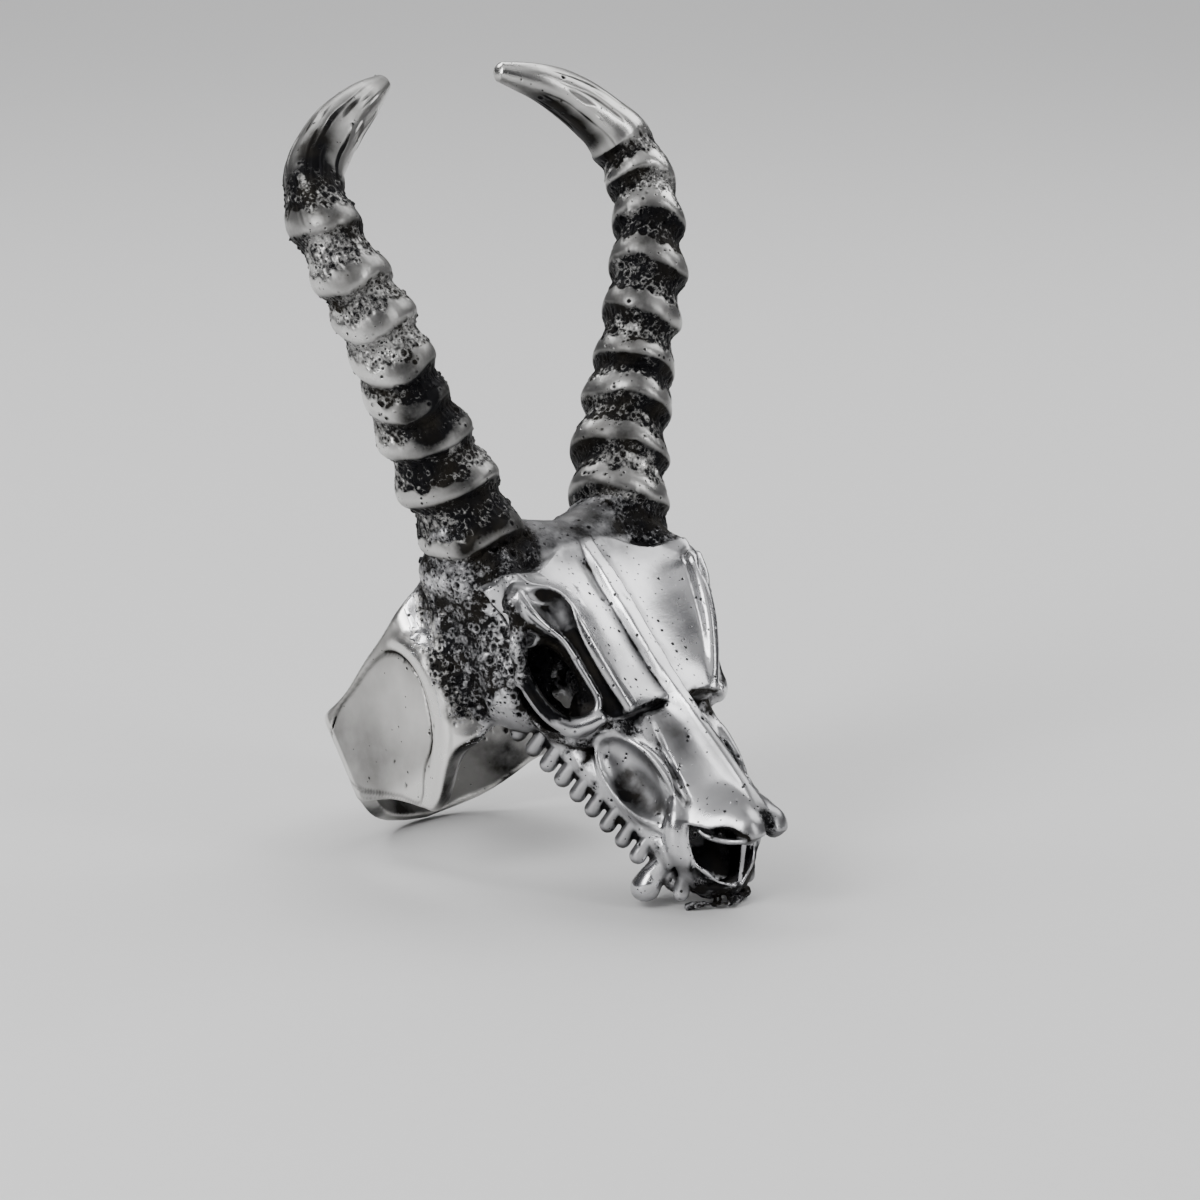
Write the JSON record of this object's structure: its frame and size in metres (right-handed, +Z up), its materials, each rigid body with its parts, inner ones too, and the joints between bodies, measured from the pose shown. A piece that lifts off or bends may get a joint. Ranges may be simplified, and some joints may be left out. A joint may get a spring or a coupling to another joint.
{
  "type": "antelope skull finger ring",
  "caption": "Cast silver finger ring shaped as a ringed-horn antelope skull, face tipped down, with a plain rounded band behind it and a flat panel on each side.",
  "frame": {"origin": "centre of the bounding box's base, on the table the ring stands on", "axes": "+Z up, +X towards the skull's left horn, -Y the way the skull faces; the finger's bore leans 34 degrees from +Z towards +Y"},
  "size_m": [0.034, 0.0376, 0.0534],
  "materials": {
    "polished_silver": "sterling silver, softly polished",
    "oxidised_silver": "sterling silver, polished on the high points and blackened in the hollows",
    "pitted_silver": "sterling silver, polished on the rings and tip, pitted and blackened between them"
  },
  "bodies": {
    "root": {"band": "polished_silver", "skull": "oxidised_silver", "horn_left": "pitted_silver", "horn_right": "pitted_silver"}
  },
  "joints": []
}
